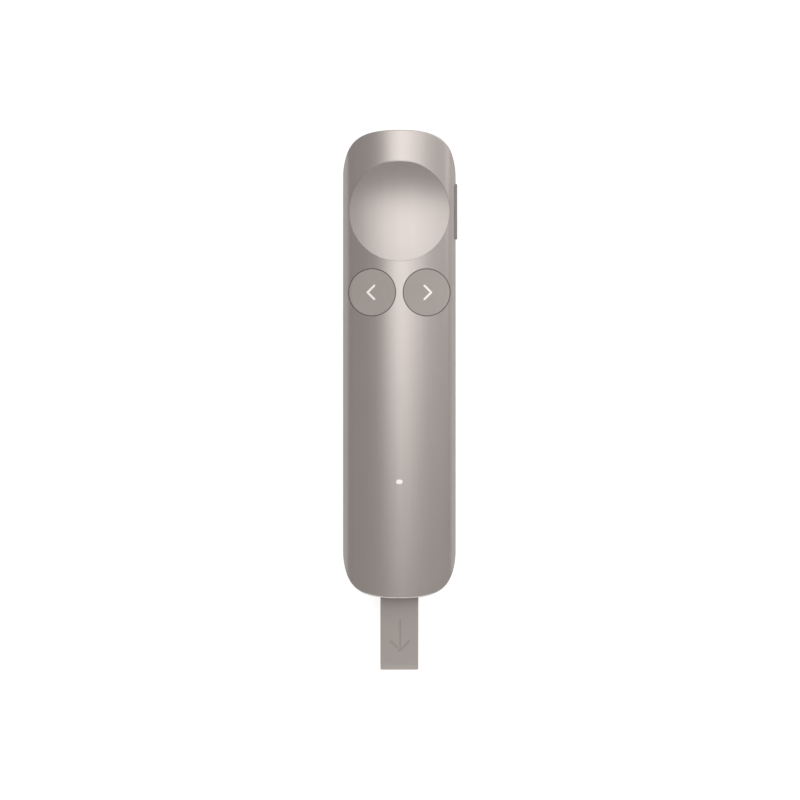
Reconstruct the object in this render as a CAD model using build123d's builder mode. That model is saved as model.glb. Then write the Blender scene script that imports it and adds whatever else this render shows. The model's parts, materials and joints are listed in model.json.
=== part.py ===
from build123d import *
import os
from math import asin, degrees, hypot, sqrt

# Wireless presentation clicker, lying on its flat back.
# Frame: the origin is the middle of the flat back face, +X points to the side button, +Y to the head
# with the thumb dish, and +Z up out of the button face. All lengths are millimetres.

# ---------------------------------------------------------------- driving dimensions

# Body
body_length = 124.2
body_width = 30.0
body_height = 14.0
crown_radius = 32.0  # the top face, across the body
shoulder_radius = 4.8  # from the top face into the sides
corner_length = 15.6  # where the outline leaves the straight side, from the end
corner_hug = 3.15  # how closely the outline keeps to the square corner
outline_margin = 0.15  # the outline passes this far outside the widest line of the section
end_round = 0.4  # edge between the top face and the ends
keel_round = 3.0  # edge between the back and the ends
shell_wall = 1.1

# Joint between the two shells
lip_to_slot = 0.715  # from the lip up to the side button
lip_height = 0.8
lip_thickness = 0.5
fit_clearance = 0.05  # between fixed pieces that are pushed together

# Thumb dish, which is the pointer button
dish_margin = 1.57  # from its rim to the widest line of the body
dish_to_head = 8.07  # from its rim to the end of the body
dish_depth = 2.2
dish_seam = 0.08
dish_travel = 0.35
dish_skin = 1.4
dish_skirt = 1.6
dish_tab_width = 8.0

# Back and next buttons, side by side within the width of the dish
keys_web = 2.22  # between the two
keys_inset = 0.06  # from the line of the dish's rim at each side
keys_to_dish = 2.04  # along the body, from rim to rim
key_gap = 0.25
key_depth = 0.3
key_travel = 0.4
key_skirt = 1.5
key_skin = 0.9
key_tab_width = 5.0

# What the caps have in common
cap_skirt = 1.45  # from the top face at the side of the dish down to the rim of every cap
tab_reach = 0.7
tab_thickness = 0.8
tab_clearance = 0.25
stem_radius = 1.5
slide_clearance = 0.1

# Chevrons let into the back and next buttons
chevron_depth = 1.8
chevron_height = 3.6
chevron_stroke = 0.52
chevron_shift = 0.3
chevron_inlay = 1.5

# Side button
side_length = 14.8
side_height = 3.0
side_corner = 0.8
side_proud = 0.41
side_edge = 0.2
side_travel = 0.3
side_gap = 0.12
side_flange_length = 16.6
side_flange_thickness = 0.8
side_flange_setback = 1.8

# Frame that carries the board and guides the caps
frame_thickness = 1.0
frame_clearance = 0.4
frame_cap_clearance = 0.2
frame_window_width = 10.0
frame_window_length = 17.0
collar_wall = 1.0
collar_height = 0.9
post_radius = 1.7
post_bore = 0.62
boss_radius = 1.8
boss_bore = 0.75

# Places of the screws, board posts and support pillars
head_screw_from_head = 7.0
middle_screw_from_keys = 13.5
tail_screw_from_lens = 3.2
head_post_from_keys = 11.0
tail_post_from_port = 0.9
head_pillar_from_dish = 9.0
pillar_from_socket = 1.0
pillar_radius = 1.25

# Screws
screw_radius = 0.6
screw_head_radius = 1.25
screw_head_height = 0.8
frame_screw_radius = 0.7
screw_end_gap = 0.37  # from the end of a frame screw to the shell above it
drive_width = 0.35
drive_length = 1.5
drive_depth = 0.45

# Boards and the parts on them
board_thickness = 0.8
board_side_room = 1.7  # from each long edge to the shells
board_corner = 3.0
switch_width = 4.4
switch_to_frame = 0.73
plunger_radius = 1.1
plunger_clearance = 0.05
side_plunger_radius = 0.55
side_switch_depth = 3.0
led_width = 1.6
led_depth = 0.8
led_height = 0.6
chip_size = 6.0
chip_height = 0.9
receiver_chip_size = 4.0
can_size = 9.0
can_height = 1.6
can_wall = 0.2
can_corner = 0.6
switch_edge = 0.3
chip_edge = 0.1
capacitor_length = 1.0
capacitor_width = 0.5
capacitor_pitch_x = 2.2
capacitor_pitch_y = 2.4
capacitor_columns = 4
capacitor_rows = 2

# Indicator window
lens_length = 1.7
lens_width = 1.15
lens_from_tail = 30.9
lens_clearance = 0.03
lens_flange = 0.65
lens_flange_thickness = 0.5

# Battery, its plug and the haptic motor
battery_width = 17.0
battery_corner = 1.2
battery_edge = 0.4
pad_thickness = 0.25
battery_clearance = 0.22
lead_radius = 0.4
lead_room = 6.0  # from the cell to the socket
lead_straight = 1.8  # before each bend
lead_spread = 3.0
lead_bend = 1.2
socket_length = 4.2
socket_width = 6.0
socket_height = 2.4
socket_wall = 0.6
plug_pitch = 2.0
motor_radius = 4.0
motor_pad_inset = 0.4
motor_clearance = 0.45
motor_from_keys = 7.0
motor_edge = 0.25
motor_lead_radius = 0.25
motor_lead_run = 1.8
motor_lead_bend = 0.75

# Dock for the receiver and the charge port behind it
dock_wall = 0.8
dock_clearance = 0.15
dock_corner = 1.5
dock_flange = 0.8
dock_flange_from_tail = 2.5
rib_thickness = 1.2
rib_width = 12.0

# Receiver
case_width = 12.6
case_height = 5.6
case_length = 15.0
case_wall = 0.8
case_setback = 0.1
contact_width = 8.25
contact_height = 2.4
contact_length = 7.55
contact_skin = 0.3
contact_clearance = 0.08
port_width = 8.94
port_height = 3.26
port_length = 7.5
port_back_wall = 0.3
tongue_width = 6.4
tongue_thickness = 0.7
tongue_length = 4.7
tongue_clearance = 0.1

# Pull loop on the receiver
loop_width = 10.1
loop_height = 4.0
loop_reach = 19.3  # how far it stands out of the tail
loop_band = 1.15
loop_clearance = 0.2
pin_radius = 0.8
pin_seat = 0.8
pin_from_tail = 3.5

# ---------------------------------------------------------------- worked-out places

half_width = body_width / 2
head_y = body_length / 2
tail_y = -body_length / 2

crown_z = body_height - crown_radius  # height of the crown's axis
shoulder_x = half_width - shoulder_radius
side_z = crown_z + sqrt((crown_radius - shoulder_radius) ** 2 - shoulder_x**2)  # widest line
foot_x = half_width - side_z  # where the flat back ends
split_height = side_z - side_height / 2 - lip_to_slot - lip_height

dish_radius = half_width - dish_margin
dish_y = head_y - dish_to_head - dish_radius
dish_side_z = side_z + sqrt(shoulder_radius**2 - (dish_radius - shoulder_x) ** 2)  # on the shoulder
key_radius = (dish_radius - keys_inset - keys_web / 2) / 2
key_offset = keys_web / 2 + key_radius
key_y = dish_y - dish_radius - keys_to_dish - key_radius
lens_y = tail_y + lens_from_tail

cap_floor = crown_z + sqrt(crown_radius**2 - dish_radius**2) - cap_skirt
frame_top = cap_floor - max(dish_travel, key_travel) - frame_cap_clearance
frame_low = frame_top - frame_thickness
dock_z = body_height / 2
board_top = dock_z - port_height / 2
board_low = board_top - board_thickness
switch_top = frame_low - switch_to_frame
stem_low = switch_top + max(dish_travel, key_travel) + frame_cap_clearance

case_y = tail_y + case_setback  # outer end of the receiver
case_front_y = case_y + case_length
dock_inner_y = case_front_y + slide_clearance
dock_front_y = dock_inner_y + dock_wall
port_y = dock_front_y + slide_clearance
port_back_y = port_y + port_length
contact_tip_y = case_front_y + contact_length
pin_y = tail_y + pin_from_tail
slot_back_y = pin_y + loop_height / 2 + loop_clearance
loop_tip_y = tail_y - loop_reach

board_width = body_width - 2 * (shell_wall + board_side_room)
board_tail_y = port_y + slide_clearance
board_head_y = head_y - shell_wall - frame_clearance - board_corner
motor_y = key_y + motor_from_keys
socket_y = motor_y - motor_radius - socket_length - slide_clearance
battery_tail_y = port_back_y + boss_radius + screw_head_radius
battery_head_y = socket_y - lead_room
battery_low = shell_wall + pad_thickness
battery_top = board_low - battery_clearance
battery_lead_z = (battery_low + battery_top) / 2

fixing_x = half_width - shell_wall - frame_clearance - boss_radius - screw_head_radius
frame_screw_places = [
    (side * fixing_x, y)
    for y in (
        head_y - head_screw_from_head,
        key_y - middle_screw_from_keys,
        lens_y + tail_screw_from_lens,
    )
    for side in (-1, 1)
]
post_places = [
    (side * fixing_x, y)
    for y in (key_y + head_post_from_keys, port_back_y + tail_post_from_port)
    for side in (-1, 1)
]
pillar_places = [
    (side * fixing_x, y)
    for y in (dish_y + head_pillar_from_dish, socket_y - pillar_from_socket)
    for side in (-1, 1)
]

# ---------------------------------------------------------------- shared shapes


def level(z):
    """Plane that lies flat at height z."""
    return Plane.XY.offset(z)


def across(y):
    """Plane square to the length at y. An extrusion from it runs towards the tail."""
    return Plane.XZ.offset(-y)


def upright(x):
    """Plane that stands along the length at x. An extrusion from it runs towards +X."""
    return Plane.YZ.offset(x)


def arc_point(centre, radius, direction):
    """Point on a circle in the given direction from its centre."""
    reach = radius / hypot(*direction)
    return (centre[0] + direction[0] * reach, centre[1] + direction[1] * reach)


def crown_height(x, inset=0.0):
    """Height of the top face, or of its inner side, at x."""
    return crown_z + sqrt((crown_radius - inset) ** 2 - x**2)


def sharp_form(inset):
    """Pebble section carried along the length and cut to the outline, both moved in by inset."""
    half = half_width + outline_margin - inset
    end = head_y - inset
    crown_reach = (shoulder_x, side_z - crown_z)
    with BuildPart() as form:
        with BuildSketch(across(body_length)):
            with BuildLine():
                crest = (0, body_height - inset)
                crown_mid = arc_point((0, crown_z), crown_radius - inset, (shoulder_x / 2, side_z - crown_z))
                crown_end = arc_point((0, crown_z), crown_radius - inset, crown_reach)
                shoulder_mid = arc_point((shoulder_x, side_z), shoulder_radius - inset, (1, 1))
                widest = (half_width - inset, side_z)
                belly_mid = arc_point((foot_x, side_z), side_z - inset, (1, -1))
                foot = (foot_x, inset)
                ThreePointArc(crest, crown_mid, crown_end)
                ThreePointArc(crown_end, shoulder_mid, widest)
                ThreePointArc(widest, belly_mid, foot)
                Line(foot, (0, inset))
                mirror(about=Plane.YZ)
            make_face()
        extrude(amount=2 * body_length)
        with BuildSketch(Plane.XY):
            with BuildLine():
                Bezier(
                    (0, end),
                    (half - corner_hug, end),
                    (half, end - corner_hug),
                    (half, head_y - corner_length),
                )
                Line((half, head_y - corner_length), (half, 0))
                mirror(about=Plane.YZ)
                mirror(about=Plane.XZ)
            make_face()
        extrude(amount=body_height, mode=Mode.INTERSECT)
    return form.part


def end_edges(form, above):
    """Edges round the two ends of a form, above or below its widest line."""
    edges = form.edges().filter_by(Axis.Y, reverse=True)
    return edges.filter_by(lambda edge: (edge.center().Z > side_z) == above)


def body_form(inset):
    """Pebble form whose back turns up into the ends."""
    with BuildPart() as form:
        add(sharp_form(inset))
        fillet(end_edges(form, above=False), keel_round - inset)
    return form.part


def band(inset, low, high):
    """Slice of the body form between two heights."""
    with BuildPart() as piece:
        add(body_form(inset))
        split(bisect_by=level(low), keep=Keep.TOP)
        split(bisect_by=level(high), keep=Keep.BOTTOM)
    return piece.part


def dish_cutter(radius, depth, side_height, y, tilt):
    """Spool that hollows a cap along the body and leaves it gently crowned across.

    Its waist sinks by depth below the crest at the middle and comes down to side_height at the sides of
    the cap, and it is turned by tilt about the axis of the crown.
    """
    along = radius**2 / (2 * depth)
    low = body_height - depth
    side_drop = low - side_height
    cross = (radius**2 + side_drop**2) / (2 * side_drop)
    drop = cross - sqrt(cross**2 - half_width**2)
    with BuildPart() as cutter:
        with BuildSketch(across(y)):
            with BuildLine():
                ThreePointArc((-half_width, low - drop), (0, low), (half_width, low - drop))
                Line((half_width, low - drop), (half_width, low + along))
                Line((half_width, low + along), (-half_width, low + along))
                Line((-half_width, low + along), (-half_width, low - drop))
            make_face()
        revolve(axis=Axis((0, y, low + along), (1, 0, 0)))
    return cutter.part.rotate(Axis((0, 0, crown_z), (0, 1, 0)), tilt)


def cap_form(place, radius, depth, side_height, tilt):
    """Round cap whose rim follows the top face and whose middle is dished."""
    with BuildPart() as form:
        with BuildSketch(level(cap_floor)):
            with Locations(place):
                Circle(radius)
        extrude(amount=body_height - cap_floor)
        add(body_form(0), mode=Mode.INTERSECT)
        add(dish_cutter(radius, depth, side_height, place[1], tilt), mode=Mode.SUBTRACT)
    return form.part


def chevron_prism(x, y, side):
    """Upright chevron with round ends that points away from the middle of the body."""
    tip = x + side * (chevron_shift + chevron_depth / 2)
    arm = hypot(chevron_depth, chevron_height / 2)
    lean = degrees(asin(chevron_height / 2 / arm))
    with BuildPart() as prism:
        with BuildSketch(level(crown_height(abs(tip)) - chevron_inlay)):
            for turn in (-1, 1):
                with Locations((tip - side * chevron_depth / 2, y + turn * chevron_height / 4)):
                    SlotCenterToCenter(arm, chevron_stroke, rotation=-side * turn * lean)
        extrude(amount=body_height)
    return prism.part


def screw_set(places, seat, shank_radius, shank_length):
    """Pan-head screws with cross drives, heads below the seat and shanks above it."""
    with BuildPart() as screws:
        with BuildSketch(level(seat - screw_head_height)):
            with Locations(places):
                Circle(screw_head_radius)
        extrude(amount=screw_head_height)
        with BuildSketch(level(seat)):
            with Locations(places):
                Circle(shank_radius)
        extrude(amount=shank_length)
        with BuildSketch(level(seat - screw_head_height)):
            with Locations(places):
                Rectangle(drive_length, drive_width)
                Rectangle(drive_width, drive_length)
        extrude(amount=drive_depth, mode=Mode.SUBTRACT)
    return screws


# ---------------------------------------------------------------- shells

with BuildPart() as outer_top:
    add(sharp_form(0))
    fillet(end_edges(outer_top, above=True), end_round)
    split(bisect_by=level(side_z), keep=Keep.TOP)

with BuildPart() as outer_form:
    add(body_form(0))
    split(bisect_by=level(side_z), keep=Keep.BOTTOM)
    add(outer_top.part)

with BuildPart() as bosses:
    with BuildSketch(level(frame_top)):
        with Locations(frame_screw_places):
            Circle(boss_radius)
            Circle(boss_bore, mode=Mode.SUBTRACT)
    extrude(amount=body_height)
    add(body_form(shell_wall / 2), mode=Mode.INTERSECT)

with BuildPart() as upper_shell:
    add(outer_form.part)
    split(bisect_by=level(split_height), keep=Keep.TOP)
    add(body_form(shell_wall), mode=Mode.SUBTRACT)
    rebate_top = split_height + lip_height + fit_clearance
    add(band(shell_wall - lip_thickness - fit_clearance, 0, rebate_top), mode=Mode.SUBTRACT)
    # Bosses that take the frame screws
    add(bosses.part)
    # Seats of the dish and the two keys
    with BuildSketch(level(frame_top)):
        with Locations((0, dish_y)):
            Circle(dish_radius)
        with Locations((-key_offset, key_y), (key_offset, key_y)):
            Circle(key_radius + key_gap)
    extrude(amount=body_height, mode=Mode.SUBTRACT)
    # Window of the indicator
    with BuildSketch(level(frame_top)):
        with Locations((0, lens_y)):
            SlotOverall(lens_length + 2 * lens_clearance, lens_width + 2 * lens_clearance)
    extrude(amount=body_height, mode=Mode.SUBTRACT)
    # Slot of the side button
    with BuildSketch(upright(half_width - 2 * shell_wall)):
        with Locations((dish_y, side_z)):
            RectangleRounded(side_length + 2 * side_gap, side_height + 2 * side_gap, side_corner + side_gap)
    extrude(amount=body_width, mode=Mode.SUBTRACT)
    # Mouth of the dock
    with BuildSketch(across(tail_y + 2 * shell_wall)):
        with Locations((0, dock_z)):
            mouth_side = 2 * (dock_wall + dock_clearance + fit_clearance)
            mouth_corner = dock_corner + dock_wall + fit_clearance
            RectangleRounded(case_width + mouth_side, case_height + mouth_side, mouth_corner)
    extrude(amount=body_width, mode=Mode.SUBTRACT)

with BuildPart() as pillars:
    with BuildSketch(Plane.XY):
        with Locations(pillar_places):
            Circle(pillar_radius)
    extrude(amount=board_low)
    rib_low = dock_z - case_height / 2 - dock_wall - dock_clearance
    with BuildSketch(Plane.XY):
        with Locations((0, dock_front_y - 2 * rib_thickness), (0, tail_y + 2 * dock_flange_from_tail)):
            Rectangle(rib_width, rib_thickness)
    extrude(amount=rib_low)
    add(body_form(shell_wall / 2), mode=Mode.INTERSECT)

with BuildPart() as lower_shell:
    add(outer_form.part)
    split(bisect_by=level(split_height), keep=Keep.BOTTOM)
    add(band(shell_wall - lip_thickness, split_height, split_height + lip_height))
    add(body_form(shell_wall), mode=Mode.SUBTRACT)
    add(pillars.part)
    with BuildSketch(across(tail_y + 2 * shell_wall)):
        with Locations((0, dock_z)):
            RectangleRounded(case_width + mouth_side, case_height + mouth_side, mouth_corner)
    extrude(amount=body_width, mode=Mode.SUBTRACT)

# ---------------------------------------------------------------- buttons

with BuildPart() as pointer_button:
    cap_radius = dish_radius - dish_seam
    add(cap_form((0, dish_y), cap_radius, dish_depth, dish_side_z, 0))
    pocket_height = body_height - dish_depth - dish_skin - cap_floor
    with BuildSketch(level(cap_floor)):
        with Locations((0, dish_y)):
            Circle(cap_radius - dish_skirt)
    extrude(amount=pocket_height, mode=Mode.SUBTRACT)
    with BuildSketch(level(stem_low)):
        with Locations((0, dish_y)):
            Circle(stem_radius)
    extrude(amount=cap_floor + pocket_height - stem_low)
    dish_tab_top = crown_height(dish_tab_width / 2, shell_wall) - tab_clearance
    with BuildSketch(level(dish_tab_top - tab_thickness)):
        with Locations((0, dish_y)):
            Rectangle(dish_tab_width, 2 * (dish_radius + tab_reach))
            Circle(cap_radius - dish_skirt / 2, mode=Mode.SUBTRACT)
    extrude(amount=tab_thickness)

keys = {}
arrows = {}
for name, side in (("back", -1), ("next", 1)):
    key_x = side * key_offset
    tilt = side * degrees(asin(key_offset / crown_radius))
    form = cap_form((key_x, key_y), key_radius, key_depth, crown_height(key_radius), tilt)
    prism = chevron_prism(key_x, key_y, side)
    with BuildPart() as key:
        add(form)
        add(prism, mode=Mode.SUBTRACT)
        key_pocket = crown_height(key_offset + key_radius - key_skirt) - key_depth - key_skin - cap_floor
        with BuildSketch(level(cap_floor)):
            with Locations((key_x, key_y)):
                Circle(key_radius - key_skirt)
        extrude(amount=key_pocket, mode=Mode.SUBTRACT)
        with BuildSketch(level(stem_low)):
            with Locations((key_x, key_y)):
                Circle(stem_radius)
        extrude(amount=cap_floor + key_pocket - stem_low)
        key_tab_top = crown_height(key_offset + key_tab_width / 2, shell_wall) - tab_clearance
        with BuildSketch(level(key_tab_top - tab_thickness)):
            with Locations((key_x, key_y)):
                Rectangle(key_tab_width, 2 * (key_radius + key_gap + tab_reach))
                Circle(key_radius - key_skirt / 2, mode=Mode.SUBTRACT)
        extrude(amount=tab_thickness)
    keys[name] = key
    with BuildPart() as arrow:
        add(form)
        add(prism, mode=Mode.INTERSECT)
    arrows[name] = arrow

with BuildPart() as side_button:
    flange_x = half_width - side_flange_setback
    with BuildSketch(upright(flange_x)):
        with Locations((dish_y, side_z)):
            RectangleRounded(side_length, side_height, side_corner)
    extrude(amount=side_flange_setback + side_proud)
    fillet(faces().sort_by(Axis.X)[-1].edges(), side_edge)
    with BuildSketch(upright(flange_x - side_flange_thickness)):
        with Locations((dish_y, side_z)):
            RectangleRounded(side_flange_length, side_height, side_corner)
    extrude(amount=side_flange_thickness)

# ---------------------------------------------------------------- frame

with BuildPart() as mid_frame:
    add(band(shell_wall + frame_clearance, frame_low, frame_top))
    frame_tail_y = dock_front_y + fit_clearance
    split(bisect_by=across(frame_tail_y), keep=Keep.BOTTOM)
    # Collars that guide the cap stems
    stem_places = [(0, dish_y), (-key_offset, key_y), (key_offset, key_y)]
    with BuildSketch(level(frame_top)):
        with Locations(stem_places):
            Circle(stem_radius + slide_clearance + collar_wall)
    extrude(amount=collar_height)
    # Posts that carry the board
    with BuildSketch(level(board_top)):
        with Locations(post_places):
            Circle(post_radius)
    extrude(amount=frame_low - board_top)
    with BuildSketch(level(board_top)):
        with Locations(post_places):
            Circle(post_bore)
    extrude(amount=body_height, mode=Mode.SUBTRACT)
    # Clear ways for stems, frame screws and the light pipe
    with BuildSketch(level(frame_low)):
        with Locations(stem_places):
            Circle(stem_radius + slide_clearance)
        with Locations(frame_screw_places):
            Circle(frame_screw_radius + slide_clearance)
        with Locations((0, lens_y)):
            SlotOverall(lens_length + 2 * slide_clearance, lens_width + 2 * slide_clearance)
    extrude(amount=body_height, mode=Mode.SUBTRACT)
    # Room for the side button, and a window over the radio
    notch_x = flange_x - side_flange_thickness - side_travel - frame_cap_clearance
    with BuildSketch(level(frame_low)):
        with Locations((notch_x, dish_y)):
            notch_length = side_flange_length + 2 * frame_clearance
            Rectangle(body_width, notch_length, align=(Align.MIN, Align.CENTER))
        with Locations((0, (battery_tail_y + battery_head_y) / 2)):
            RectangleRounded(frame_window_width, frame_window_length, battery_corner)
        # Room for the charge port
        with Locations((0, port_back_y + frame_clearance)):
            Rectangle(port_width + 2 * frame_clearance, body_length, align=(Align.CENTER, Align.MAX))
    extrude(amount=frame_thickness, mode=Mode.SUBTRACT)

frame_screw_end = crown_height(fixing_x + frame_screw_radius, shell_wall) - screw_end_gap
frame_screws = screw_set(frame_screw_places, frame_low, frame_screw_radius, frame_screw_end - frame_low)
board_screws = screw_set(post_places, board_low, screw_radius, frame_low - board_low)

# ---------------------------------------------------------------- board and switches

with BuildPart() as main_board:
    board_length = board_head_y - board_tail_y
    with BuildSketch(level(board_low)):
        with Locations((0, (board_head_y + board_tail_y) / 2)):
            RectangleRounded(board_width, board_length, board_corner)
        with Locations(post_places):
            Circle(post_bore, mode=Mode.SUBTRACT)
    extrude(amount=board_thickness)

switches = {}
plungers = {}
for name, place in zip(("pointer", "back", "next"), stem_places):
    with BuildPart() as switch:
        with BuildSketch(level(board_top)):
            with Locations(place):
                Rectangle(switch_width, switch_width)
        extrude(amount=switch_top - board_top)
        chamfer(edges().filter_by(Axis.Z), switch_edge)
        with BuildSketch(level(board_top + slide_clearance)):
            with Locations(place):
                Circle(plunger_radius + plunger_clearance)
        extrude(amount=switch_top, mode=Mode.SUBTRACT)
    switches[name] = switch
    with BuildPart() as plunger:
        plunger_low = board_top + max(dish_travel, key_travel) + 2 * slide_clearance
        with BuildSketch(level(plunger_low)):
            with Locations(place):
                Circle(plunger_radius)
        extrude(amount=stem_low - plunger_low)
    plungers[name] = plunger

side_press_x = flange_x - side_flange_thickness
side_press_z = (board_top + switch_top) / 2
side_switch_x = side_press_x - side_travel - frame_cap_clearance - side_switch_depth
with BuildPart() as side_switch:
    with BuildSketch(upright(side_switch_x)):
        with Locations((dish_y, side_press_z)):
            Rectangle(switch_width, switch_top - board_top)
    extrude(amount=side_switch_depth)
    chamfer(edges().filter_by(Axis.X), switch_edge)
    with BuildSketch(upright(side_switch_x + side_switch_depth / 2)):
        with Locations((dish_y, side_press_z)):
            Circle(side_plunger_radius + plunger_clearance)
    extrude(amount=side_switch_depth, mode=Mode.SUBTRACT)

with BuildPart() as side_plunger:
    plunger_start = side_switch_x + side_switch_depth / 2 + side_travel + slide_clearance
    with BuildSketch(upright(plunger_start)):
        with Locations((dish_y, side_press_z)):
            Circle(side_plunger_radius)
    extrude(amount=side_press_x - plunger_start)

with BuildPart() as indicator_led:
    with BuildSketch(level(board_top)):
        with Locations((0, lens_y)):
            Rectangle(led_width, led_depth)
    extrude(amount=led_height)

with BuildPart() as light_pipe:
    with BuildSketch(level(board_top + led_height + slide_clearance)):
        with Locations((0, lens_y)):
            SlotOverall(lens_length, lens_width)
    extrude(amount=body_height)
    flange_top = crown_height(lens_length / 2 + lens_flange, shell_wall) - fit_clearance
    with BuildSketch(level(flange_top - lens_flange_thickness)):
        with Locations((0, lens_y)):
            SlotOverall(lens_length + 2 * lens_flange, lens_width + 2 * lens_flange)
    extrude(amount=lens_flange_thickness)
    add(body_form(0), mode=Mode.INTERSECT)

radio_y = (battery_tail_y + battery_head_y) / 2
with BuildPart() as radio_chip:
    with BuildSketch(level(board_top)):
        with Locations((0, radio_y)):
            Rectangle(chip_size, chip_size)
    extrude(amount=chip_height)

with BuildPart() as shield_can:
    with BuildSketch(level(board_top)):
        with Locations((0, radio_y)):
            RectangleRounded(can_size, can_size, can_corner)
    extrude(amount=can_height)
    with BuildSketch(level(board_top)):
        with Locations((0, radio_y)):
            Rectangle(can_size - 2 * can_wall, can_size - 2 * can_wall)
    extrude(amount=can_height - can_wall, mode=Mode.SUBTRACT)

# Small parts soldered to the board: size across, size along, height, place
small_parts = {
    "motion_sensor": (3.0, 2.5, 0.8, (-fixing_x, radio_y)),
    "charger_chip": (3.0, 3.0, 0.8, (fixing_x / 2, battery_tail_y)),
    "chip_antenna": (7.0, 2.0, 1.2, (0, board_head_y - board_corner)),
    "timing_crystal": (2.0, 1.6, 0.5, ((can_size + fixing_x) / 2, radio_y)),
}
soldered = {}
for name, (size_x, size_y, height, place) in small_parts.items():
    with BuildPart() as chip:
        with BuildSketch(level(board_top)):
            with Locations(place):
                Rectangle(size_x, size_y)
        extrude(amount=height)
        chamfer(faces().sort_by(Axis.Z)[-1].edges(), chip_edge)
    soldered[name] = chip

with BuildPart() as capacitors:
    with BuildSketch(level(board_top)):
        with Locations((0, radio_y + can_size)):
            with GridLocations(capacitor_pitch_x, capacitor_pitch_y, capacitor_columns, capacitor_rows):
                Rectangle(capacitor_length, capacitor_width)
    extrude(amount=capacitor_width)

# ---------------------------------------------------------------- battery and haptic motor

with BuildPart() as battery_pad:
    with BuildSketch(level(shell_wall)):
        with Locations((0, radio_y)):
            Rectangle(
                2 * foot_x - 2 * pad_thickness,
                battery_head_y - battery_tail_y - 2 * battery_corner,
            )
    extrude(amount=pad_thickness)

with BuildPart() as battery_cell:
    with BuildSketch(level(battery_low)):
        with Locations((0, radio_y)):
            Rectangle(battery_width, battery_head_y - battery_tail_y)
    extrude(amount=battery_top - battery_low)
    fillet(edges().filter_by(Axis.Y), battery_corner)
    fillet(edges().filter_by(Axis.Z), battery_edge)

with BuildPart() as battery_leads:
    for side in (-1, 1):
        start_x = side * lead_spread
        end_x = side * plug_pitch / 2
        with BuildLine() as route:
            FilletPolyline(
                (start_x, battery_head_y, battery_lead_z),
                (start_x, battery_head_y + lead_straight, battery_lead_z),
                (end_x, socket_y - lead_straight, battery_lead_z),
                (end_x, socket_y, battery_lead_z),
                radius=lead_bend,
            )
        with BuildSketch(Plane(origin=(start_x, battery_head_y, battery_lead_z), z_dir=(0, 1, 0))):
            Circle(lead_radius)
        sweep(path=route.wires()[0])

socket_low = board_low - socket_height
with BuildPart() as battery_socket:
    with BuildSketch(level(socket_low)):
        with Locations((0, socket_y)):
            Rectangle(socket_width, socket_length, align=(Align.CENTER, Align.MIN))
    extrude(amount=socket_height)
    with BuildSketch(across(socket_y + socket_length - socket_wall)):
        with Locations((0, socket_low + socket_height / 2)):
            Rectangle(socket_width - 2 * socket_wall, socket_height - 2 * socket_wall)
    extrude(amount=socket_length, mode=Mode.SUBTRACT)

with BuildPart() as battery_plug:
    plug_play = 2 * (socket_wall + slide_clearance)
    with BuildSketch(across(socket_y + socket_length - socket_wall - slide_clearance)):
        with Locations((0, socket_low + socket_height / 2)):
            Rectangle(socket_width - plug_play, socket_height - plug_play)
    extrude(amount=socket_length - socket_wall - slide_clearance)

with BuildPart() as motor_pad:
    with BuildSketch(level(shell_wall)):
        with Locations((0, motor_y)):
            Circle(motor_radius - motor_pad_inset)
    extrude(amount=pad_thickness)

motor_top = board_low - motor_clearance
with BuildPart() as haptic_motor:
    with BuildSketch(level(battery_low)):
        with Locations((0, motor_y)):
            Circle(motor_radius)
    extrude(amount=motor_top - battery_low)
    fillet(edges().filter_by(GeomType.CIRCLE), motor_edge)

with BuildPart() as motor_leads:
    lead_z = (battery_low + motor_top) / 2
    for side in (-1, 1):
        lead_x = side * plug_pitch / 2
        lead_start = motor_y + sqrt(motor_radius**2 - (lead_x + side * motor_lead_radius) ** 2)
        with BuildLine() as route:
            FilletPolyline(
                (lead_x, lead_start + motor_lead_radius, lead_z),
                (lead_x, lead_start + motor_lead_run, lead_z),
                (lead_x, lead_start + motor_lead_run, board_low),
                radius=motor_lead_bend,
            )
        with BuildSketch(Plane(origin=(lead_x, lead_start + motor_lead_radius, lead_z), z_dir=(0, 1, 0))):
            Circle(motor_lead_radius)
        sweep(path=route.wires()[0])

# ---------------------------------------------------------------- dock and charge port

with BuildPart() as dock_sleeve:
    inner_width = case_width + 2 * dock_clearance
    inner_height = case_height + 2 * dock_clearance
    flange_y = tail_y + dock_flange_from_tail + dock_wall
    with BuildSketch(across(flange_y)):
        with Locations((0, dock_z)):
            flange_side = 2 * (dock_wall + dock_flange)
            RectangleRounded(inner_width + flange_side, inner_height + flange_side, dock_corner + dock_wall)
    extrude(amount=dock_wall)
    add(body_form(shell_wall + fit_clearance), mode=Mode.INTERSECT)
    with BuildSketch(across(dock_front_y)):
        with Locations((0, dock_z)):
            RectangleRounded(inner_width + 2 * dock_wall, inner_height + 2 * dock_wall, dock_corner + dock_wall)
    extrude(amount=dock_front_y - tail_y)
    with BuildSketch(across(dock_inner_y)):
        with Locations((0, dock_z)):
            RectangleRounded(inner_width, inner_height, dock_corner)
    extrude(amount=body_width, mode=Mode.SUBTRACT)
    with BuildSketch(across(dock_front_y)):
        with Locations((0, dock_z)):
            SlotOverall(contact_width + 2 * dock_clearance, contact_height + 2 * dock_clearance)
    extrude(amount=body_width, mode=Mode.SUBTRACT)
    add(body_form(case_setback / 2), mode=Mode.INTERSECT)

with BuildPart() as charge_port:
    with BuildSketch(across(port_back_y)):
        with Locations((0, dock_z)):
            SlotOverall(port_width, port_height)
    extrude(amount=port_length)
    with BuildSketch(across(port_back_y - port_back_wall)):
        with Locations((0, dock_z)):
            SlotOverall(contact_width + 2 * contact_clearance, contact_height + 2 * contact_clearance)
    extrude(amount=port_length, mode=Mode.SUBTRACT)

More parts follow.
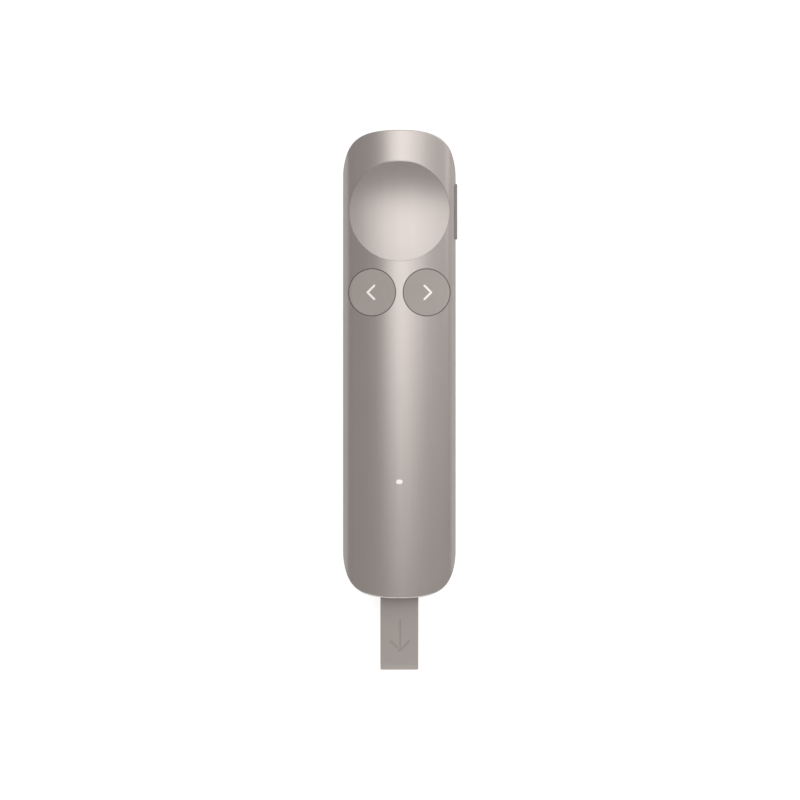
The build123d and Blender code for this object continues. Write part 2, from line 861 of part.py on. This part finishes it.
with BuildPart() as charge_port_tongue:
    with BuildSketch(across(port_back_y - port_back_wall)):
        with Locations((0, dock_z)):
            Rectangle(tongue_width, tongue_thickness)
    extrude(amount=tongue_length)

# ---------------------------------------------------------------- receiver

case_inner_width = case_width - 2 * case_wall
case_inner_height = case_height - 2 * case_wall
cavity_back_y = slot_back_y + case_wall
contact_root_y = case_front_y - 2 * case_wall
case_halves = {}
for name, keep in (("receiver_case_top", Keep.TOP), ("receiver_case_bottom", Keep.BOTTOM)):
    with BuildPart() as half_case:
        with BuildSketch(across(case_front_y)):
            with Locations((0, dock_z)):
                RectangleRounded(case_width, case_height, dock_corner)
        extrude(amount=case_length)
        add(body_form(case_setback), mode=Mode.INTERSECT)
        # Chamber for the board
        with BuildSketch(across(case_front_y - case_wall)):
            with Locations((0, dock_z)):
                Rectangle(case_inner_width, case_inner_height)
        extrude(amount=case_front_y - case_wall - cavity_back_y, mode=Mode.SUBTRACT)
        # Way out for the contact shell
        with BuildSketch(across(case_front_y)):
            with Locations((0, dock_z)):
                SlotOverall(contact_width, contact_height)
        extrude(amount=2 * case_wall, mode=Mode.SUBTRACT)
        # Slot for the pull loop, and the seats of its pin
        with BuildSketch(across(slot_back_y)):
            with Locations((0, dock_z)):
                Rectangle(loop_width + 2 * loop_clearance, loop_height + 2 * loop_clearance)
        extrude(amount=case_length, mode=Mode.SUBTRACT)
        pin_half = loop_width / 2 + loop_clearance + pin_seat
        with BuildSketch(upright(-pin_half)):
            with Locations((pin_y, dock_z)):
                Circle(pin_radius)
        extrude(amount=2 * pin_half, mode=Mode.SUBTRACT)
        split(bisect_by=level(dock_z), keep=keep)
    case_halves[name] = half_case

with BuildPart() as loop_pin:
    with BuildSketch(upright(-pin_half)):
        with Locations((pin_y, dock_z)):
            Circle(pin_radius)
    extrude(amount=2 * pin_half)

with BuildPart() as pull_loop:
    loop_span = pin_y - loop_tip_y - loop_height / 2
    with BuildSketch(upright(-loop_width / 2)):
        with Locations((pin_y - loop_span / 2, dock_z)):
            SlotCenterToCenter(loop_span, loop_height)
            SlotCenterToCenter(loop_span, loop_height - 2 * loop_band, mode=Mode.SUBTRACT)
    extrude(amount=loop_width)

with BuildPart() as receiver_plug:
    with BuildSketch(across(contact_tip_y)):
        with Locations((0, dock_z)):
            SlotOverall(contact_width, contact_height)
            SlotOverall(
                contact_width - 2 * contact_skin, contact_height - 2 * contact_skin, mode=Mode.SUBTRACT
            )
    extrude(amount=contact_tip_y - contact_root_y)

with BuildPart() as receiver_plug_core:
    with BuildSketch(across(contact_tip_y - contact_skin)):
        with Locations((0, dock_z)):
            SlotOverall(contact_width - 2 * contact_skin, contact_height - 2 * contact_skin)
    extrude(amount=contact_tip_y - contact_skin - contact_root_y)
    tongue_room = port_back_y - port_back_wall - tongue_length - contact_skin
    with BuildSketch(across(contact_tip_y)):
        with Locations((0, dock_z)):
            Rectangle(tongue_width + 2 * tongue_clearance, tongue_thickness + 2 * tongue_clearance)
    extrude(amount=contact_tip_y - tongue_room, mode=Mode.SUBTRACT)

with BuildPart() as receiver_board:
    with BuildSketch(level(dock_z - board_thickness / 2)):
        with Locations((0, (cavity_back_y + contact_root_y) / 2)):
            Rectangle(
                case_inner_width - 2 * slide_clearance,
                contact_root_y - cavity_back_y - 2 * slide_clearance,
            )
    extrude(amount=board_thickness)

with BuildPart() as receiver_chip:
    with BuildSketch(level(dock_z + board_thickness / 2)):
        with Locations((0, (cavity_back_y + contact_root_y) / 2)):
            Rectangle(receiver_chip_size, receiver_chip_size)
    extrude(amount=chip_height)

# ---------------------------------------------------------------- files

pieces = {
    "upper_shell": upper_shell,
    "lower_shell": lower_shell,
    "mid_frame": mid_frame,
    "frame_screws": frame_screws,
    "board_screws": board_screws,
    "main_board": main_board,
    "side_switch": side_switch,
    "indicator_led": indicator_led,
    "light_pipe": light_pipe,
    "radio_chip": radio_chip,
    "shield_can": shield_can,
    "capacitors": capacitors,
    "battery_cell": battery_cell,
    "battery_pad": battery_pad,
    "battery_leads": battery_leads,
    "battery_socket": battery_socket,
    "battery_plug": battery_plug,
    "haptic_motor": haptic_motor,
    "motor_pad": motor_pad,
    "motor_leads": motor_leads,
    "dock_sleeve": dock_sleeve,
    "charge_port": charge_port,
    "charge_port_tongue": charge_port_tongue,
    "pointer_button": pointer_button,
    "side_button": side_button,
    "side_plunger": side_plunger,
    "loop_pin": loop_pin,
    "pull_loop": pull_loop,
    "receiver_plug": receiver_plug,
    "receiver_plug_core": receiver_plug_core,
    "receiver_board": receiver_board,
    "receiver_chip": receiver_chip,
    **soldered,
    **case_halves,
    **{f"{name}_switch": switch for name, switch in switches.items()},
    **{f"{name}_plunger": plunger for name, plunger in plungers.items()},
    **{f"{name}_button": key for name, key in keys.items()},
    **{f"{name}_arrow": arrow for name, arrow in arrows.items()},
}

os.makedirs("parts", exist_ok=True)
for name, piece in pieces.items():
    piece.part.label = name
    export_step(piece.part, f"parts/{name}.step")
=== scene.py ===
import json

import bpy
import numpy as np
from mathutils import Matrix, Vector


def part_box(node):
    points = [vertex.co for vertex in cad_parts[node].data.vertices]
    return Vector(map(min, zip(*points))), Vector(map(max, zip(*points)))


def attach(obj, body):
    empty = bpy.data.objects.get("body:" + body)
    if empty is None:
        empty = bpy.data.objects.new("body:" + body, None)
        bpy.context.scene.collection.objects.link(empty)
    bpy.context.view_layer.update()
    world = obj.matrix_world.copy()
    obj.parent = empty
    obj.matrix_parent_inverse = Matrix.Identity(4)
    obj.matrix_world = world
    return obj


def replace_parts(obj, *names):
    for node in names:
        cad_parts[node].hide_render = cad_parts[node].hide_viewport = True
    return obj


# Wireless presentation clicker: surfaces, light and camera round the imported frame.
# Metres. The origin is the middle of the flat back, +X points to the side button, +Y to the head
# and +Z up out of the button face.

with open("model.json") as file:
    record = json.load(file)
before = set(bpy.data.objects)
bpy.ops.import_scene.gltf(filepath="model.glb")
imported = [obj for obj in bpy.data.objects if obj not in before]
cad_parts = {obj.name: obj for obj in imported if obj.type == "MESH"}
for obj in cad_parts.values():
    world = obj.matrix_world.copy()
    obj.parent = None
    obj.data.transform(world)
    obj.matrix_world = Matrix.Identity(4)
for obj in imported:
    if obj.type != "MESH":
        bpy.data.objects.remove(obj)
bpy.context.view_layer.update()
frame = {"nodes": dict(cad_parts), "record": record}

# ---------------------------------------------------------------- sizes

MM = 0.001

shell_low, shell_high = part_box("upper_shell")
side_low, side_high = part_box("side_button")
head_y = shell_high.y
tail_y = shell_low.y
crest_z = shell_high.z
widest_z = (side_low.z + side_high.z) / 2  # height of the body's widest line

# ---------------------------------------------------------------- shader helpers


class Value:
    """Output of a shader node. Arithmetic on it adds the Math nodes that work it out."""

    def __init__(self, finish, socket):
        self.finish = finish
        self.socket = socket

    def math(self, operation, *others):
        """Math node of one operation on this value and the others."""
        values = dict(enumerate((self, *others)))
        return self.finish.node("Math", {"operation": operation}, values)["Value"]

    def __add__(self, other):
        return self.math("ADD", other)

    def __mul__(self, other):
        return self.math("MULTIPLY", other)

    __radd__ = __add__
    __rmul__ = __mul__


class Finish:
    """One material or world: its node tree, and the one way in which nodes are added to it."""

    def __init__(self, owner):
        owner.use_nodes = True
        self.owner = owner
        self.tree = owner.node_tree
        self.tree.nodes.clear()

    def node(self, kind, settings=None, inputs=None):
        """Adds a node: its settings first, then the values or links of its sockets.

        A socket is given by its name or its number. Returns the node's outputs by name, as values.
        """
        made = self.tree.nodes.new("ShaderNode" + kind)
        for name, setting in (settings or {}).items():
            setattr(made, name, setting)
        in_use = {socket.name: socket for socket in made.inputs if socket.enabled}
        for key, given in (inputs or {}).items():
            socket = made.inputs[key] if isinstance(key, int) else in_use[key]
            if isinstance(given, Value):
                self.tree.links.new(given.socket, socket)
            else:
                socket.default_value = given
        return {output.name: Value(self, output) for output in made.outputs if output.enabled}

    def noise(self, cells, detail=2.0, rough=0.5):
        """Noise from 0 to 1, on Object coordinates stretched to the cells' size in millimetres."""
        stretch = tuple(1 / (size * MM) for size in cells)
        spot = self.node("TexCoord")["Object"]
        placed = self.node("Mapping", inputs={"Vector": spot, "Scale": stretch})["Vector"]
        inputs = {"Vector": placed, "Scale": 1.0, "Detail": detail, "Roughness": rough}
        return self.node("TexNoise", inputs=inputs)["Fac"]

    def blend(self, share, low, high):
        """Colour between two others, by a share from 0 to 1."""
        inputs = {"Factor": share, "A": (*low, 1), "B": (*high, 1)}
        return self.node("Mix", {"data_type": "RGBA"}, inputs)["Result"]

    def shade(self, share, colour, low, high):
        """A colour between its darker and its lighter tint, by a share from 0 to 1."""
        return self.blend(share, tint(colour, low), tint(colour, high))

    def bump(self, height, depth):
        """Normal from a height that spans depth millimetres."""
        inputs = {"Height": height, "Distance": depth * MM, "Strength": 1.0}
        return self.node("Bump", inputs=inputs)["Normal"]

    def surface(self, **inputs):
        """Principled surface, which ends the material. Underscores stand for socket spaces."""
        named = {name.replace("_", " "): given for name, given in inputs.items()}
        shader = self.node("BsdfPrincipled", inputs=named)["BSDF"]
        self.node("OutputMaterial", inputs={"Surface": shader})
        return self.owner


def new_finish(name):
    """Empty material of that name."""
    return Finish(bpy.data.materials.new(name))


def tint(colour, factor):
    """Colour made darker or lighter by a factor."""
    return tuple(min(1.0, channel * factor) for channel in colour)


# ---------------------------------------------------------------- finishes

TAUPE = (0.625, 0.572, 0.545)
KEY_TAUPE = (0.495, 0.447, 0.418)
LOOP_TAUPE = (0.5, 0.458, 0.43)
MILK_DEEP = (0.88, 0.82, 0.79)
MILK_PALE = (0.96, 0.9, 0.87)
# WARM_GLOW colours the glow: the LED's light on the lens, and painted light on the arrow icons
WARM_GLOW = (1.0, 0.93, 0.89)

# Cells of the noises, in millimetres across, along and up the body
HAIR_CELLS = (0.16, 26.0, 0.16)
BAND_CELLS = (1.4, 90.0, 1.4)
SHEEN_CELLS = (9.0, 14.0, 9.0)
DRIFT_CELLS = (7.0, 7.0, 7.0)
ROLLED_CELLS = (0.2, 3.0, 0.2)
PLATING_CELLS = (1.5, 1.5, 1.5)
MILK_CELLS = (0.3, 0.3, 0.3)


def satin_metal(name, colour):
    """Anodised metal with a fine grain along the body.

    Its hair-fine streaks show in tone, gloss and relief, its broader bands in tone, and its sheen
    in tone and gloss.
    """
    finish = new_finish(name)
    hairs = finish.noise(HAIR_CELLS, detail=3.0, rough=0.6)
    bands = finish.noise(BAND_CELLS)
    sheen = finish.noise(SHEEN_CELLS)
    tone = hairs * 0.5 + bands * 0.3 + sheen * 0.2
    return finish.surface(
        Base_Color=finish.shade(tone, colour, 0.93, 1.07),
        Metallic=1.0,
        Roughness=0.27 + hairs * 0.07 + sheen * 0.04,
        Normal=finish.bump(hairs, 0.0016),
    )


def moulded(name, colour, roughness=0.55, grain=0.12):
    """Moulded plastic: a fine spark-eroded grain in relief and gloss, and a faint drift in tone."""
    finish = new_finish(name)
    fine = finish.noise((grain, grain, grain))
    drift = finish.noise(DRIFT_CELLS, detail=1.0)
    return finish.surface(
        Base_Color=finish.shade(fine * 0.4 + drift * 0.6, colour, 0.94, 1.06),
        Roughness=roughness - 0.06 + fine * 0.12,
        Normal=finish.bump(fine, 0.004),
    )


def plated(name, colour, roughness=0.3):
    """Plated or rolled metal: faint rolling streaks in tone and relief, small clouds in gloss."""
    finish = new_finish(name)
    streaks = finish.noise(ROLLED_CELLS)
    clouds = finish.noise(PLATING_CELLS)
    return finish.surface(
        Base_Color=finish.shade(streaks, colour, 0.94, 1.04),
        Metallic=1.0,
        Roughness=roughness - 0.05 + clouds * 0.12,
        Normal=finish.bump(streaks, 0.001),
    )


def milky(name, strength):
    """Milky plastic that glows: small clouds in tone, gloss and glow. On the lens the glow is the
    LED's own light; on the arrow icons it is painted light that brightens them.
    """
    finish = new_finish(name)
    clouds = finish.noise(MILK_CELLS, detail=1.0)
    return finish.surface(
        Base_Color=finish.blend(clouds, MILK_DEEP, MILK_PALE),
        Roughness=0.4 + clouds * 0.05,
        Emission_Color=finish.shade(clouds, WARM_GLOW, 0.92, 1.0),
        Emission_Strength=strength,
    )


finishes = {
    "body_metal": satin_metal("body_metal", TAUPE),
    "dish_metal": satin_metal("dish_metal", tint(TAUPE, 0.925)),
    "key_plastic": moulded("key_plastic", KEY_TAUPE, roughness=0.6),
    # the arrows' glow is painted light, a painted brightening of the icons
    "arrow_white": milky("arrow_white", 0.3),
    "side_plastic": moulded("side_plastic", (0.33, 0.305, 0.29), roughness=0.5),
    "lens_plastic": milky("lens_plastic", 0.31),
    "dock_plastic": moulded("dock_plastic", (0.05, 0.048, 0.046)),
    "receiver_plastic": moulded("receiver_plastic", (0.17, 0.158, 0.148), roughness=0.5),
    "loop_rubber": moulded("loop_rubber", LOOP_TAUPE, roughness=0.56, grain=0.09),
    "bright_steel": plated("bright_steel", (0.66, 0.66, 0.67)),
    "plug_steel": plated("plug_steel", (0.72, 0.71, 0.7), roughness=0.26),
    "black_plastic": moulded("black_plastic", (0.02, 0.02, 0.022)),
    "circuit_board": moulded("circuit_board", (0.015, 0.09, 0.045), roughness=0.35, grain=0.5),
    "chip_black": moulded("chip_black", (0.02, 0.02, 0.021), roughness=0.5),
    "frame_plastic": moulded("frame_plastic", (0.04, 0.04, 0.042), roughness=0.6),
    "switch_plastic": moulded("switch_plastic", (0.03, 0.03, 0.03), roughness=0.45),
    "plunger_plastic": moulded("plunger_plastic", (0.6, 0.57, 0.5), roughness=0.45),
    "led_resin": moulded("led_resin", (0.8, 0.74, 0.5), roughness=0.25),
    "can_metal": plated("can_metal", (0.62, 0.63, 0.64)),
    "chip_ceramic": moulded("chip_ceramic", (0.42, 0.34, 0.24), roughness=0.7),
    "battery_foil": plated("battery_foil", (0.6, 0.61, 0.63), roughness=0.4),
    "foam_pad": moulded("foam_pad", (0.02, 0.02, 0.02), roughness=0.9, grain=0.25),
    "lead_insulation": moulded("lead_insulation", (0.4, 0.02, 0.015), roughness=0.45),
    "connector_plastic": moulded("connector_plastic", (0.72, 0.7, 0.62), roughness=0.5),
}

for part in frame["record"]["subparts"]:
    node = frame["nodes"][part["node"]]
    node.data.materials.clear()
    node.data.materials.append(finishes[part["material_slot"]])

# ---------------------------------------------------------------- closed bands

CORNER_POINTS = 7  # round each corner of a section


def closed_band(name, points, material, body):
    """Smooth mesh over a grid of points whose rows and columns both close on themselves.

    Each row is one section, and the sections run anticlockwise seen against the way of the rows.
    The piece rides a body.
    """
    rows, columns = points.shape[:2]
    row, column = np.meshgrid(np.arange(rows), np.arange(columns), indexing="ij")
    next_row = (row + 1) % rows
    next_column = (column + 1) % columns
    corners = [(row, column), (row, next_column), (next_row, next_column), (next_row, column)]
    faces = np.stack([(a * columns + b).ravel() for a, b in corners], axis=1)
    mesh = bpy.data.meshes.new(name)
    mesh.from_pydata(points.reshape(-1, 3), [], faces)
    mesh.shade_smooth()
    mesh.materials.append(finishes[material])
    piece = bpy.data.objects.new(name, mesh)
    bpy.context.scene.collection.objects.link(piece)
    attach(piece, body)
    return piece


def rounded_section(width, thickness, corner, step):
    """Rectangle with quarter-round corners, as (across, out) points.

    Each corner's points are its middle plus a turning radius. The outer side, between the first
    two corners, is divided into steps of about the given size.
    """
    turn = np.linspace(0, np.pi / 2, CORNER_POINTS)
    half_x = width / 2 - corner
    half_out = thickness / 2 - corner
    quarters = []
    for index, (side_x, side_out) in enumerate(((1, 1), (-1, 1), (-1, -1), (1, -1))):
        angle = turn + index * np.pi / 2
        across = side_x * half_x + corner * np.cos(angle)
        out = side_out * half_out + corner * np.sin(angle)
        quarters.append(np.stack([across, out], axis=1))
    inner_x = np.linspace(half_x, -half_x, int(2 * half_x / step))[1:-1]
    outer = np.stack([inner_x, np.full_like(inner_x, thickness / 2)], axis=1)
    return np.concatenate([quarters[0], outer, *quarters[1:]])


# ---------------------------------------------------------------- seals round the buttons

CROWN_RADIUS = 32.0 * MM
SHOULDER_RADIUS = 4.8 * MM
SEAL_HEIGHT = 0.5 * MM
SEAL_ROUND = 0.015 * MM  # edges
SEAL_PLAY = 0.01 * MM  # on each side
SEAL_POINTS = 240  # round the button
DISH_GAP = 0.08 * MM  # between the button and the body
KEY_GAP = 0.25 * MM
DISH_SEAL_BELOW = 0.02 * MM  # from the top face down to the seal
KEY_SEAL_BELOW = 0.06 * MM


def top_face(x):
    """Height of the body's top face at x.

    It is the height of a large circle, the crown, and beyond the place where the two meet that of
    a small circle, the shoulder.
    """
    shoulder_x = shell_high.x - SHOULDER_RADIUS
    meeting_x = shoulder_x * CROWN_RADIUS / (CROWN_RADIUS - SHOULDER_RADIUS)
    reach = np.minimum(np.abs(x), shell_high.x)
    crown = crest_z - CROWN_RADIUS + np.sqrt(CROWN_RADIUS**2 - reach**2)
    drop = np.maximum(SHOULDER_RADIUS**2 - (reach - shoulder_x) ** 2, 0)
    return np.where(reach < meeting_x, crown, widest_z + np.sqrt(drop))


def button_seal(name, button, gap, below, material):
    """Thin seal that lies in the gap round a button, just under the top face.

    Each point is a point of the circle in the middle of the gap, moved out by the section's across
    value, at the height of the top face at that x plus the section's out value.
    """
    width = gap - 2 * SEAL_PLAY
    low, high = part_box(button)
    turn = np.linspace(2 * np.pi, 0, SEAL_POINTS, endpoint=False)[:, None]
    section = rounded_section(width, SEAL_HEIGHT, SEAL_ROUND, width / 4)
    spread = (high.x - low.x + gap) / 2 + section[:, 0]
    x = (low.x + high.x) / 2 + spread * np.cos(turn)
    y = (low.y + high.y) / 2 + spread * np.sin(turn)
    z = top_face(x) - below - SEAL_HEIGHT / 2 + section[:, 1]
    closed_band(name, np.stack([x, y, z], axis=2), material, "housing")


button_seal("dish_seal", "pointer_button", DISH_GAP, DISH_SEAL_BELOW, "body_metal")
button_seal("back_seal", "back_button", KEY_GAP, KEY_SEAL_BELOW, "receiver_plastic")
button_seal("next_seal", "next_button", KEY_GAP, KEY_SEAL_BELOW, "receiver_plastic")

# ---------------------------------------------------------------- pull loop

BAND = 1.15 * MM  # thickness
BAND_ROUND = 0.3 * MM  # edges
BAND_STEP = 0.11 * MM  # between points, along and across
BEND_POINTS = 25  # round each bend, with its two ends
MARK_LENGTH = 8.0 * MM
MARK_HEAD = 2.3 * MM  # reach of the arrowhead's arms, along and across
MARK_STROKE = 0.75 * MM
MARK_DEPTH = 0.24 * MM
MARK_SLOPE = 0.16 * MM
MARK_FROM_TIP = 5.4 * MM


def racetrack(front, back, middle, radius, step):
    """Line round two half circles and the straight runs between them.

    Returns the place (y, z) of every point and the way (y, z) that faces out there. The top run
    goes from back to front in steps of about the given size. The ends of each half circle are the
    ends of the runs.
    """
    run = np.linspace(back, front, int((back - front) / step))
    arc = np.linspace(0, np.pi, BEND_POINTS)[1:-1]
    sine, cosine = np.sin(arc), np.cos(arc)
    level = np.zeros_like(run)
    y = np.concatenate([run, front - radius * sine, run[::-1], back + radius * sine])
    z = np.concatenate([level + radius, radius * cosine, level - radius, -radius * cosine])
    out_y = np.concatenate([level, -sine, level, sine])
    return np.stack([y, middle + z], axis=1), np.stack([out_y, z / radius], axis=1)


def stroke_depth(x, y, strokes, width, slope):
    """Share from 0 to 1 by which a place lies within the strokes.

    It is 1 where the nearest stroke's line is closer than half the width, less the slope, and goes
    smoothly to 0 at half the width.
    """
    nearest = np.full(x.shape, np.inf)
    for (x0, y0), (x1, y1) in strokes:
        dx, dy = x1 - x0, y1 - y0
        along = np.clip(((x - x0) * dx + (y - y0) * dy) / (dx * dx + dy * dy), 0, 1)
        nearest = np.minimum(nearest, np.hypot(x - x0 - along * dx, y - y0 - along * dy))
    share = np.clip((width / 2 - nearest) / slope, 0, 1)
    return share * share * (3 - 2 * share)


def rubber_loop():
    """Rubber band round the receiver's pin, with a pull arrow sunk into its top run.

    Every point is a point of the racetrack, moved out by the section's out value and across by its
    across value. On the outer side of the top run the out value is less by the arrow's depth.
    """
    low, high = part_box("pull_loop")
    bend = (high.z - low.z) / 2
    middle = (low.z + high.z) / 2
    line, outward = racetrack(low.y + bend, high.y - bend, middle, bend - BAND / 2, BAND_STEP)
    section = rounded_section(high.x - low.x, BAND, BAND_ROUND, BAND_STEP)
    x = np.broadcast_to(section[:, 0], (len(line), len(section)))
    y = np.broadcast_to(line[:, :1], x.shape)
    tip = low.y + MARK_FROM_TIP
    strokes = [((0, tip + MARK_LENGTH), (0, tip))]
    strokes += [((side * MARK_HEAD, tip + MARK_HEAD), (0, tip)) for side in (-1, 1)]
    sunk = MARK_DEPTH * stroke_depth(x, y, strokes, MARK_STROKE, MARK_SLOPE)
    on_top = (outward[:, 1:] == 1) & (section[:, 1] > BAND / 2 - BAND_ROUND / 2)
    out = section[:, 1] - sunk * on_top
    points = np.stack([x, y + out * outward[:, :1], line[:, 1:] + out * outward[:, 1:]], axis=2)
    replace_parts(closed_band("rubber_loop", points, "loop_rubber", "receiver"), "pull_loop")


rubber_loop()

# ---------------------------------------------------------------- studio

FLOOR_REACH = 3.0  # from the middle to each side
FLOOR_LEVEL = -0.02 * MM  # clear of the flat back
PAPER = (0.8, 0.8, 0.8, 1)
FLOOR_GLOW = 0.7  # extra white, for camera and transmission rays
GLOSSY_SHARE = 0.08  # share of that white for glossy rays
SKY = (1.0, 0.972, 0.95, 1)
SKY_LIGHT = 0.365
SKY_GLOW = 0.6  # extra white, for camera rays only

RIGHT_AIM = (0.0, 0.02, 0.007)  # where the lamps on the right aim, near the body's middle

# Soft rectangular lamps: place, aim, width, length and radiance
LAMPS = {
    "overhead_box": ((0.03, 0.24, 0.36), (0.03, 0.24, 0.0), 0.22, 0.52, 0.53),
    "head_box": ((0.05, 0.23, 0.37), (0.05, 0.23, 0.0), 0.28, 0.46, 0.37),
    "crest_strip": ((0.01, 0.17, 0.35), (0.01, 0.17, 0.0), 0.07, 0.46, 0.55),
    "right_middle": ((0.4, 0.14, 0.3), RIGHT_AIM, 0.26, 0.6, 0.29),
    "right_side": ((0.57, 0.49, 0.25), RIGHT_AIM, 0.8, 0.44, 1.15),
    "tail_side": ((0.0, -0.55, 0.2), (0.0, -0.07, 0.007), 0.9, 0.36, 1.25),
    "head_side": ((0.0, 0.7, 0.18), (0.0, 0.06, 0.01), 0.6, 0.3, 1.0),
}


def white_floor():
    """Plain white floor that the object lies on, with its own soft shadow."""
    reach, level = FLOOR_REACH, FLOOR_LEVEL
    mesh = bpy.data.meshes.new("floor")
    corners = [(x * reach, y * reach, level) for x, y in ((-1, -1), (1, -1), (1, 1), (-1, 1))]
    mesh.from_pydata(corners, [], [(0, 1, 2, 3)])
    floor = bpy.data.objects.new("floor", mesh)
    bpy.context.scene.collection.objects.link(floor)
    finish = new_finish("floor_paper")
    ray = finish.node("LightPath")
    seen = ray["Is Camera Ray"] + ray["Is Transmission Ray"] + ray["Is Glossy Ray"] * GLOSSY_SHARE
    paper = finish.node("BsdfDiffuse", inputs={"Color": PAPER})["BSDF"]
    white = {"Color": (1, 1, 1, 1), "Strength": seen * FLOOR_GLOW}
    glow = finish.node("Emission", inputs=white)["Emission"]
    both = finish.node("AddShader", inputs={0: paper, 1: glow})["Shader"]
    finish.node("OutputMaterial", inputs={"Surface": both})
    mesh.materials.append(finish.owner)


def softbox(name, place, aim, width, length, radiance):
    """Soft rectangular lamp at a place, turned to an aim, that the camera doesn't see."""
    data = bpy.data.lights.new(name, "AREA")
    data.shape = "RECTANGLE"
    data.size = width
    data.size_y = length
    data.energy = radiance * width * length * np.pi
    lamp = bpy.data.objects.new(name, data)
    bpy.context.scene.collection.objects.link(lamp)
    lamp.location = place
    lamp.rotation_euler = (Vector(place) - Vector(aim)).to_track_quat("Z", "Y").to_euler()
    lamp.visible_camera = False


def pale_sky():
    """World that lights the object evenly and looks white to the camera."""
    world = bpy.data.worlds.new("studio")
    bpy.context.scene.world = world
    sky = Finish(world)
    strength = SKY_LIGHT + sky.node("LightPath")["Is Camera Ray"] * SKY_GLOW
    air = sky.node("Background", inputs={"Color": SKY, "Strength": strength})["Background"]
    sky.node("OutputWorld", inputs={"Surface": air})


white_floor()
for name, lamp in LAMPS.items():
    softbox(name, *lamp)
pale_sky()

# ---------------------------------------------------------------- camera

IMAGE_SIDE = 800  # pixels
PIXEL = 0.2664 * MM  # what a pixel covers at the body's widest line
BODY_PIXEL_X = 399.4  # where the body's middle lies in the image
BODY_PIXEL_Y = 364.2
LENS = 200.0  # millimetres
SENSOR = 36.0  # millimetres

distance = IMAGE_SIDE * PIXEL * LENS / SENSOR
body_y = (head_y + tail_y) / 2
camera_data = bpy.data.cameras.new("camera")
camera_data.lens = LENS
camera_data.sensor_width = SENSOR
camera = bpy.data.objects.new("camera", camera_data)
bpy.context.scene.collection.objects.link(camera)
camera.location = (
    (IMAGE_SIDE / 2 - BODY_PIXEL_X) * PIXEL,
    body_y - (IMAGE_SIDE / 2 - BODY_PIXEL_Y) * PIXEL,
    widest_z + distance,
)
bpy.context.scene.camera = camera
bpy.context.scene.view_settings.view_transform = "Standard"
